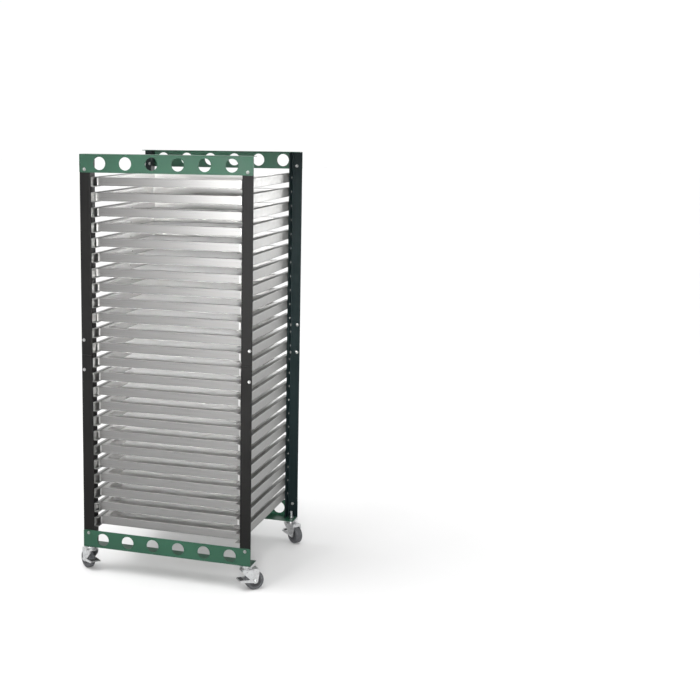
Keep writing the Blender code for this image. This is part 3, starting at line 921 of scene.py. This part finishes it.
    def build(self) -> None:
        """Make all of the frame."""
        for corner in Corner:
            for half in ("lower", "upper"):
                self.upright(f"post_{corner.label}_{half}", corner, self.sheet)
            self.upright(f"splice_{corner.label}", corner, self.splice_sheet)
        for place, side_y in (("front", -1), ("rear", 1)):
            for level in ("top", "base"):
                self.plate(f"cross_plate_{place}_{level}", side_y, level == "top")
        head = self.bolt.head()
        nut = self.bolt.nut()
        for corner in Corner:
            heads, nuts = self.bolt_places(corner)
            mesh = joined("bolts", [copies("heads", head, heads), copies("nuts", nut, nuts)])
            add_piece(f"bolts_{corner.label}", smoothed(mesh), RACK, ZINC_PAINTED_DIM)


@dataclass
class Rails:
    """The channel rails, each a roll-formed strip, with their carrier strips and screws."""

    sheet: float = 0.0015
    height: float = 0.038
    bend_radius: float = 0.0024
    carrier_sheet: float = 0.0015
    under_screen: float = 0.0018
    screw_depth: float = 0.0150
    flange_sheet: float = 0.003
    edge_soft: float = 0.0003
    carrier_start: float = 0.006
    carrier_end: float = 0.032
    carrier_trim: float = 0.004
    carrier_clear: float = 0.0002
    screw: RailScrew = field(default_factory=RailScrew)

    def section(self, flange: float) -> list[Point]:
        """The channel's section, with its web on x = 0 and its flanges towards -x."""
        sheet = self.sheet
        outline = [
            (0.0, 0.0),
            (0.0, self.height),
            (-flange, self.height),
            (-flange, self.height - sheet),
            (-sheet, self.height - sheet),
            (-sheet, sheet),
            (-flange, sheet),
            (-flange, 0.0),
        ]
        inner = self.bend_radius - sheet
        return rounded(outline, [self.bend_radius] * 2 + [0.0, 0.0, inner, inner, 0.0, 0.0], 4)

    def rail_z(self, level: int) -> float:
        """Height of the underside of a level's rails."""
        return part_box(f"screen_{level:02d}")[0].z - self.under_screen

    def build(self) -> None:
        """Make the rails of both sides, with one piece for each rail."""
        low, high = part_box("rails_right_upper")
        flange = high.x - self.carrier_sheet - low.x
        half = 0.5 * (high.y - low.y)
        rail = softened(prism("rail", self.section(flange), 2.0 * half, UPRIGHT), self.edge_soft)
        head = self.screw.head()
        for side, sign in (("left", -1), ("right", 1)):
            turn = IDENTITY if sign > 0 else Matrix.Rotation(math.pi, 4, "Z")
            web_x = sign * (high.x - self.carrier_sheet)
            for level in range(1, LEVELS + 1):
                bank = f"rails_{side}_{'upper' if level <= LEVELS // 2 else 'lower'}"
                place = Matrix.Translation((web_x, 0.0, self.rail_z(level))) @ turn
                add_piece(f"rail_{side}_{level:02d}", rail, RACK, RAIL_ZINC, place, [bank])
            for bank in ("upper", "lower"):
                self.carriers(side, sign, bank)
                self.screws(side, sign, bank, head)

    def carriers(self, side: str, sign: int, bank: str) -> None:
        """Strips between the post flanges and the rails of one bank."""
        low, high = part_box(f"rails_{side}_{bank}")
        outer = from_side(sign, low.x, high.x)[0]
        edges = sorted((outer, outer - sign * (self.carrier_sheet - self.carrier_clear)))
        strips = []
        for end_y, way in ((low.y, 1.0), (high.y, -1.0)):
            ys = sorted((end_y + way * self.carrier_start, end_y + way * self.carrier_end))
            outline = box_outline((edges[0], ys[0]), (edges[1], ys[1]))
            middle = raised(0.5 * (low.z + high.z))
            strips.append(prism("strip", outline, high.z - low.z - self.carrier_trim, middle))
        mesh = softened(joined("carriers", strips), self.edge_soft)
        add_piece(f"carriers_{side}_{bank}", mesh, RACK, BLACK_ENAMEL)

    def screws(self, side: str, sign: int, bank: str, head: Mesh) -> None:
        """One screw at each rail end of a bank, on the outside of the post flange or the splice."""
        levels = range(1, LEVELS // 2 + 1) if bank == "upper" else range(LEVELS // 2 + 1, LEVELS + 1)
        places = []
        for end, side_y in (("front", -1), ("rear", 1)):
            post_low, post_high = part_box(f"post_{end}_{side}_{bank}")
            splice_low, splice_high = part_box(f"splice_{end}_{side}")
            inner_x = from_side(sign, post_low.x, post_high.x)[1]
            face_y = from_side(side_y, post_low.y, post_high.y)[0]
            y = face_y - side_y * self.screw_depth
            for level in levels:
                z = self.rail_z(level) + 0.5 * self.height
                seat = inner_x
                if splice_low.z < z < splice_high.z:
                    seat = from_side(sign, splice_low.x, splice_high.x)[1]
                places.append(facing((seat + sign * self.flange_sheet, y, z), (sign, 0, 0)))
        mesh = copies("screws", head, places)
        add_piece(f"screws_{side}_{bank}", smoothed(mesh), RACK, ZINC_PAINTED_DIM)


@dataclass
class Screens:
    """The framed screens: four mitred tubes welded at the corners, with mesh glued underneath."""

    bar_width: float = 0.029
    bar_height: float = 0.034
    edge_radius: float = 0.0016
    mesh_sheet: float = 0.0006
    mesh_margin: float = 0.0025
    vent_radius: float = 0.003
    bead_radius: float = 0.0011
    bead_margin: float = 0.006
    bead_soft: float = 0.0003
    edge_soft: float = 0.0004
    mesh_corner: float = 0.004
    vent_depth: float = 0.006

    def bar_mesh(self, length: float) -> Mesh:
        """One bar with mitred ends, its outer side on x = 0, standing on z = mesh_sheet."""
        low = (-self.bar_width, self.mesh_sheet)
        section = rounded(box_outline(low, (0.0, self.bar_height)), self.edge_radius, 4)
        return prism("bar", section, length, UPRIGHT, (-1.0, -1.0))

    def frame_mesh(self, width: float, length: float) -> Mesh:
        """The welded frame, its origin under its middle.

        Args:
            width: Size along X.
            length: Size along Y.

        Returns:
            The frame's mesh.
        """
        bars = []
        for quarter, (run, out) in enumerate([(length, width), (width, length)] * 2):
            turn = Matrix.Rotation(math.radians(90.0 * quarter), 4, "Z")
            bar = self.bar_mesh(run)
            bar.transform(turn @ Matrix.Translation((0.5 * out, 0.0, 0.0)))
            bars.append(bar)
        drill = prism("drill", ring(self.vent_radius, 16), self.vent_depth)
        for index, sign in ((0, 1), (2, -1)):
            spot = (sign * (0.5 * width - self.bar_width), 0.0, 0.5 * self.bar_height)
            tool = drill.copy()
            tool.transform(facing(spot, (1, 0, 0)))
            bars[index] = carved(bars[index], tool)
        frame = softened(joined("screen_frame", bars), self.edge_soft)
        return joined("screen_frame", [frame, self.beads(width, length)])

    def beads(self, width: float, length: float) -> Mesh:
        """Low weld beads across the mitres on top of the frame."""
        made = []
        half = 0.5 * self.bar_width
        reach = math.hypot(self.bar_width, self.bar_width) - self.bead_margin
        section = ring(self.bead_radius, 8)
        for side_x in (-1, 1):
            for side_y in (-1, 1):
                middle = (side_x * (0.5 * width - half), side_y * (0.5 * length - half))
                spot = Vector((*middle, self.bar_height - 0.75 * self.bead_radius))
                bead = prism("bead", section, reach, facing(spot, (side_x, side_y, 0)))
                made.append(bead)
        return softened(joined("beads", made), self.bead_soft)

    def build(self) -> None:
        """Make a frame and its mesh for each level."""
        low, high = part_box("screen_01")
        width = high.x - low.x
        length = high.y - low.y
        frame = self.frame_mesh(width, length)
        reach = (0.5 * width - self.mesh_margin, 0.5 * length - self.mesh_margin)
        outline = rounded(box_outline((-reach[0], -reach[1]), reach), self.mesh_corner, 4)
        sheet = prism("sheet", outline, self.mesh_sheet, raised(0.5 * self.mesh_sheet))
        for level in range(1, LEVELS + 1):
            node = f"screen_{level:02d}"
            low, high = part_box(node)
            middle = 0.5 * (low + high)
            place = Matrix.Translation((middle.x, middle.y, low.z))
            add_piece(f"{node}_frame", frame, node, FRAME_ALUMINIUM, place, [node])
            cloth = add_piece(f"{node}_mesh", sheet, node, SCREEN_MESH, place)


@dataclass
class Caster:
    """One braked swivel caster, in a frame whose X runs along the trail, with the stem over its origin."""

    corner: Corner
    wheel_radius: float = 0.038
    wheel_width: float = 0.030
    hub_radius: float = 0.026
    axle_radius: float = 0.004
    boss_radius: float = 0.011
    headroom: float = 0.0085
    fork_sheet: float = 0.0025
    side_play: float = 0.002
    fork_lead: float = 0.024
    fork_tail: float = 0.017
    fork_lip: float = 0.012
    fork_end: float = 0.011
    crown_radius: float = 0.026
    crown_step: float = 0.0008
    crown_sink: float = 0.0006
    race_radius: float = 0.021
    race_height: float = 0.0115
    mount_radius: float = 0.030
    mount_sheet: float = 0.003
    stem_radius: float = 0.005
    stem_rise: float = 0.030
    nut_radius: float = 0.0092
    nut_height: float = 0.008
    washer_radius: float = 0.0112
    washer_sheet: float = 0.0014
    pin_radius: float = 0.006
    plate_sheet: float = 0.002
    seat_gap: float = 0.0003
    pedal_sheet: float = 0.002
    pedal_arm: float = 0.008
    pedal_reach: float = 0.066
    pedal_tread: float = 0.021
    eye_radius: float = 0.0065
    eye_play: float = 0.0003
    fork_corner: float = 0.004
    fork_bend: float = 0.002
    fork_soft: float = 0.0007
    pedal_soft: float = 0.0005
    pad_inset: float = 0.002
    pad_sink: float = 0.0002
    pad_valley: float = 0.0012
    pad_crest: float = 0.0022
    pad_soft: float = 0.0003
    pad_ribs: int = 5
    hub_ribs: int = 6
    half_rib: float = 0.0011
    rib_soft: float = 0.0004
    stem_turns: int = 18

    def __post_init__(self) -> None:
        """Find the caster's place from the CAD model."""
        mount = self.middle("mount")
        wheel = self.middle("wheel")
        away = wheel - mount
        self.trail = math.hypot(away.x, away.y)
        turn = Matrix.Rotation(math.atan2(away.y, away.x), 4, "Z")
        self.place = Matrix.Translation((mount.x, mount.y, 0.0)) @ turn
        self.fork_inner = 0.5 * self.wheel_width + self.side_play
        self.fork_outer = self.fork_inner + self.fork_sheet
        self.crown_under = 2.0 * self.wheel_radius + self.headroom
        self.saddle_top = self.crown_under + self.fork_sheet
        self.crown_top = self.saddle_top + self.crown_step

    def middle(self, kind: str) -> Vector:
        """Middle of one of the caster's CAD nodes."""
        low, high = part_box(f"caster_{kind}_{self.corner.label}")
        return 0.5 * (low + high)

    def straddling(self, name: str, outline: list[Point], outer: float, hollow: list[Point],
                   inner: float) -> Mesh:
        """A bent sheet across the wheel: a side outline, less a narrower hollow."""
        block = prism(name, outline, 2.0 * outer, UPRIGHT)
        return carved(block, prism("hollow", hollow, 2.0 * inner, UPRIGHT))

    def axle_place(self, side: float) -> Matrix:
        """A place on the axle's line, with its own Z along the axle."""
        return Matrix.Translation((self.trail, side, self.wheel_radius)) @ lying_along("Y")

    def fork(self) -> Mesh:
        """The pressed fork with its crown, and the riveted axle."""
        lip = self.saddle_top - self.fork_lip
        tail = self.trail + self.fork_tail
        corners = [(tail, self.saddle_top), (-self.fork_lead, self.saddle_top), (-self.fork_lead, lip)]
        outline = rounded(corners + [(self.trail, self.wheel_radius)], [self.fork_corner] * 3 + [0.0])[:-1]
        outline += arc((self.trail, self.wheel_radius), self.fork_end, 210.0, 360.0, 18)
        outline.append((tail, lip))
        sheet = self.fork_sheet
        hollow = rounded([
            (-2.0 * self.fork_lead, 0.0),
            (2.0 * tail, 0.0),
            (2.0 * tail, lip),
            (tail - sheet, lip),
            (tail - sheet, self.saddle_top - sheet),
            (-2.0 * self.fork_lead, self.saddle_top - sheet),
        ], [0.0, 0.0, 0.0, 0.0, self.fork_bend, 0.0])
        saddle = self.straddling("fork", outline, self.fork_outer, hollow, self.fork_inner)
        crown_low = self.crown_under + self.crown_sink
        profile = [(self.eye_radius, crown_low), (self.crown_radius, crown_low)]
        profile += [(self.crown_radius, self.crown_top), (self.eye_radius, self.crown_top)]
        crown = turned("crown", profile, 48, closed=True)
        saddle = carved(saddle, turned("eye", rod(self.eye_radius, 0.0, 0.2), 32))
        body = softened(joined("fork", [saddle, crown]), self.fork_soft)
        reach = self.fork_outer + self.seat_gap * 2.0 + self.pedal_sheet
        parts = [body, turned("axle", rod(self.axle_radius, -reach, reach), 24, self.axle_place(0.0))]
        dome = [(0.0, 0.0), (0.0075, 0.0), (0.0072, 0.0012), (0.0058, 0.0024), (0.003, 0.003), (0.0, 0.003)]
        for side in (-1, 1):
            seat = Matrix.Translation((self.trail, side * reach, self.wheel_radius))
            turn = lying_along("Y") if side > 0 else UPRIGHT
            parts.append(turned("rivet_head", dome, 24, seat @ turn))
        return joined("fork", parts)

    def mount(self) -> Mesh:
        """The race cup, kingpin, threaded stem, washer and nut."""
        race_under = self.crown_top + self.seat_gap
        under = race_under + self.race_height
        top = under + self.mount_sheet
        seat = top + self.seat_gap + self.plate_sheet + self.seat_gap
        end = seat + self.stem_rise
        head = self.crown_under - self.seat_gap
        profile = [(0.0, end), (self.stem_radius - 0.0008, end), (self.stem_radius, end - 0.0008)]
        pitch = (end - 0.001 - seat) / self.stem_turns
        for turn in range(self.stem_turns):
            z = end - 0.001 - turn * pitch
            profile += [(self.stem_radius, z - 0.15 * pitch), (self.stem_radius - 0.0005, z - 0.6 * pitch)]
        profile += [(self.stem_radius, seat), (self.stem_radius, top)]
        rim = self.mount_radius
        profile += [(rim - 0.001, top), (rim, top - 0.001), (rim, under + 0.0008), (rim - 0.0008, under)]
        race = self.race_radius
        profile += [(race + 0.0006, under), (race, under - 0.0015), (race, race_under + 0.0052)]
        profile += [(race - 0.0016, race_under + 0.0046), (race - 0.0016, race_under + 0.0034)]
        profile += [(race, race_under + 0.0028), (race, race_under + 0.0008), (race - 0.0008, race_under)]
        pin = self.pin_radius
        profile += [(pin, race_under), (pin, head), (0.0096, head), (0.010, head - 0.0006)]
        profile += [(0.0088, head - 0.003), (pin, head - 0.004), (0.0, head - 0.004)]
        body = turned("mount", profile, 40)
        hexagon = self.nut_height - self.washer_sheet
        nut = Fastener(self.nut_radius, hexagon, self.washer_radius, self.washer_sheet).head()
        nut.transform(raised(seat))
        return smoothed(joined("mount", [body, nut]))

    def tyre(self) -> Mesh:
        """The tyre about its axle, with a crowned tread and a groove in each wall."""
        half = 0.5 * self.wheel_width
        radius = self.wheel_radius
        side = [(self.hub_radius, half - 0.0004), (radius - 0.0095, half), (radius - 0.0085, half - 0.0007)]
        side += [(radius - 0.0075, half), (radius - 0.006, half)]
        side += arc((radius - 0.0062, half - 0.006), 0.006, 80.0, 10.0, 6)
        side += [(radius, half - 0.0085), (radius, half - 0.0093), (radius - 0.0009, half - 0.0097)]
        side += [(radius - 0.0009, half - 0.0107), (radius, half - 0.0111)]
        return wheel_ring("tyre", side)

    def hub(self) -> Mesh:
        """The hub about its axle: a dished disc with ribs, and the bearing boss."""
        half = 0.5 * self.wheel_width
        rim = self.hub_radius
        face = [(self.axle_radius + 0.0003, half), (self.boss_radius - 0.0006, half)]
        face += [(self.boss_radius, half - 0.0006), (self.boss_radius, half - 0.003)]
        face += [(rim - 0.0035, half - 0.003), (rim - 0.0035, half - 0.0008), (rim - 0.003, half - 0.0003)]
        face += [(rim - 0.0002, half - 0.0003)]
        parts = [wheel_ring("hub", face)]
        thick = self.half_rib
        length = rim - 0.003 - self.boss_radius
        outline = box_outline((self.boss_radius - 0.0002, -thick), (self.boss_radius + length, thick))
        for side in (-1, 1):
            for rib in range(self.hub_ribs):
                bar = prism("rib", outline, 2.0 * thick)
                turn = Matrix.Rotation(2.0 * math.pi * rib / self.hub_ribs, 4, "Z")
                bar.transform(lying_along("Y") @ raised(side * (half - 0.0021)) @ turn)
                parts.append(softened(bar, self.rib_soft))
        return joined("hub", parts)

    def pedal(self) -> Mesh:
        """The brake pedal about the axle: two arms and a tread ahead of the wheel."""
        inner = self.fork_outer + self.seat_gap
        outer = inner + self.pedal_sheet
        corners = [(-self.pedal_reach, self.pedal_arm), (-self.pedal_reach, 0.0)]
        outline = rounded(corners + [(0.0, -self.pedal_arm)], [0.0015, 0.003, 0.0])[:-1]
        outline += arc((0.0, 0.0), self.pedal_arm, -90.0, 90.0, 18)
        tread = -self.pedal_reach + self.pedal_tread
        under = self.pedal_arm - self.pedal_sheet
        beyond = 2.0 * self.pedal_arm
        hollow = [
            (-2.0 * self.pedal_reach, -beyond),
            (beyond, -beyond),
            (beyond, beyond),
            (tread, beyond),
            (tread, under),
            (-2.0 * self.pedal_reach, under),
        ]
        body = self.straddling("pedal", outline, outer, hollow, inner)
        eye = rod(self.axle_radius + self.eye_play, -0.05, 0.05)
        return softened(carved(body, turned("eye", eye, 24, lying_along("Y"))), self.pedal_soft)

    def pad(self) -> Mesh:
        """The ribbed pad on the pedal's tread."""
        width = 2.0 * (self.fork_outer - self.pad_inset)
        start = -self.pedal_reach + self.pad_inset
        bottom = self.pedal_arm - self.pad_sink
        valley, crest = bottom + self.pad_valley, bottom + self.pad_crest
        outline = [(start, bottom)]
        step = (self.pedal_tread - 2.0 * self.pad_inset) / self.pad_ribs
        for rib in range(self.pad_ribs):
            x = start + rib * step
            outline += [(x, valley), (x + 0.4 * step, crest), (x + 0.8 * step, valley)]
        outline.append((start + self.pad_ribs * step, bottom))
        return softened(prism("pad", list(reversed(outline)), width, UPRIGHT), self.pad_soft, 1)

    def build(self) -> None:
        """Make the caster's pieces and put them on their bodies."""
        label = self.corner.label
        axle = self.place @ Matrix.Translation((self.trail, 0.0, self.wheel_radius))
        fork = f"caster_fork_{label}"
        wheel = f"caster_wheel_{label}"
        pedal = f"caster_pedal_{label}"
        mount = f"caster_mount_{label}"
        add_piece(f"{mount}_turned", self.mount(), RACK, BRIGHT_ZINC, self.place, [mount])
        legs = smoothed(self.fork())
        add_piece(f"{fork}_pressed", legs, fork, BRIGHT_ZINC, self.place, [fork])
        add_piece(f"{wheel}_tyre", self.tyre(), wheel, TYRE_RUBBER, axle, [wheel])
        add_piece(f"{wheel}_hub", self.hub(), wheel, HUB_NYLON, axle)
        add_piece(f"{pedal}_pressed", self.pedal(), pedal, BRIGHT_ZINC, axle, [pedal])
        add_piece(f"{pedal}_pad", self.pad(), pedal, PEDAL_PAD, axle)


@dataclass
class Studio:
    """The floor, the soft light and the camera."""

    camera_place: tuple[float, float, float] = (1.8187, -4.8927, 1.8484)
    yaw: float = -19.704
    pitch: float = -8.884
    roll: float = 0.186
    focal_pixels: float = 1276.2
    shift: Point = (0.2, -0.05)
    floor_half: float = 40.0
    floor_sheet: float = 0.02
    floor_gap: float = 0.0001
    sensor: float = 36.0
    view_end: float = 200.0

    def camera(self) -> None:
        """A camera at the photograph's viewing angle."""
        data = bpy.data.cameras.new("camera")
        data.sensor_width = self.sensor
        data.lens = self.focal_pixels * self.sensor / IMAGE_SIZE
        data.shift_x, data.shift_y = self.shift
        data.clip_end = self.view_end
        camera = in_scene("camera", data)
        yaw, pitch = math.radians(self.yaw), math.radians(self.pitch)
        ahead = Vector((math.sin(yaw) * math.cos(pitch), math.cos(yaw) * math.cos(pitch), math.sin(pitch)))
        turn = ahead.to_track_quat("-Z", "Y").to_matrix().to_4x4()
        roll = Matrix.Rotation(math.radians(self.roll), 4, "Z")
        camera.matrix_world = Matrix.Translation(self.camera_place) @ turn @ roll
        bpy.context.scene.camera = camera

    def floor(self) -> None:
        """A wide pale floor under the wheels."""
        reach = self.floor_half
        mesh = prism("floor", box_outline((-reach, -reach), (reach, reach)), self.floor_sheet)
        mesh.transform(raised(-0.5 * self.floor_sheet - self.floor_gap))
        mesh.materials.append(STUDIO_FLOOR.material())
        floor = in_scene("floor", mesh)

    def area(self, name: str, place: Sequence[float], target: Sequence[float], size: Point, power: float,
             spread: float = 180.0) -> None:
        """A soft box.

        Args:
            name: The light's name.
            place: Where it stands.
            target: What it points at.
            size: Its width and height.
            power: Its power in watts.
            spread: Angle of its beam in degrees.
        """
        data = bpy.data.lights.new(name, "AREA")
        data.shape = "RECTANGLE"
        data.size, data.size_y = size
        data.energy = power
        data.spread = math.radians(spread)
        light = in_scene(name, data)
        light.location = place
        light.rotation_euler = (Vector(target) - Vector(place)).to_track_quat("-Z", "Y").to_euler()

    def sky(self) -> None:
        """A plain white surround, dimmer towards the viewer's side of the room."""
        world = bpy.data.worlds.new("studio")
        world.use_nodes = True
        tree = world.node_tree
        background = tree.nodes["Background"]
        direction = tree.nodes.new("ShaderNodeTexCoord").outputs["Generated"]
        split = tree.nodes.new("ShaderNodeSeparateXYZ")
        tree.links.new(direction, split.inputs["Vector"])
        ramp = tree.nodes.new("ShaderNodeMapRange")
        ramp.interpolation_type = "SMOOTHSTEP"
        tree.links.new(split.outputs["Y"], ramp.inputs["Value"])
        for key, value in (("From Min", -0.9), ("From Max", 0.2), ("To Min", 0.55), ("To Max", 1.02)):
            ramp.inputs[key].default_value = value
        tree.links.new(ramp.outputs["Result"], background.inputs["Strength"])
        background.inputs["Color"].default_value = (1.0, 1.0, 1.0, 1.0)
        bpy.context.scene.world = world

    def lights(self) -> None:
        """A broad overhead sun, soft boxes at the left and beside the camera, and a bright panel behind."""
        data = bpy.data.lights.new("overhead", "SUN")
        data.energy = 2.4
        data.angle = math.radians(48.0)
        sun = in_scene("overhead", data)
        sun.rotation_euler = (math.radians(18.0), math.radians(-12.0), 0.0)
        self.area("soft_box_left", (-1.1, -5.0, 1.6), (0.0, 0.2, 1.45), (0.7, 0.4), 56.0)
        self.area("soft_box_front", (1.95, -5.4, 1.85), (0.0, 0.0, 0.95), (1.0, 1.0), 20.0, 22.0)
        self.area("bright_panel", (1.9, 6.0, 1.4), (0.0, 0.0, 1.4), (1.6, 1.2), 3.0, 40.0)

    def build(self) -> None:
        """Make the studio."""
        self.camera()
        self.floor()
        self.sky()
        self.lights()
        settings = bpy.context.scene.view_settings
        settings.view_transform = "Standard"
        settings.look = "None"


def main() -> None:
    """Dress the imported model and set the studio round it."""
    logging.basicConfig(level=logging.WARNING)
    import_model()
    Studio().build()
    Frame().build()
    Rails().build()
    Screens().build()
    for corner in Corner:
        Caster(corner).build()


if __name__ == "__main__":
    main()
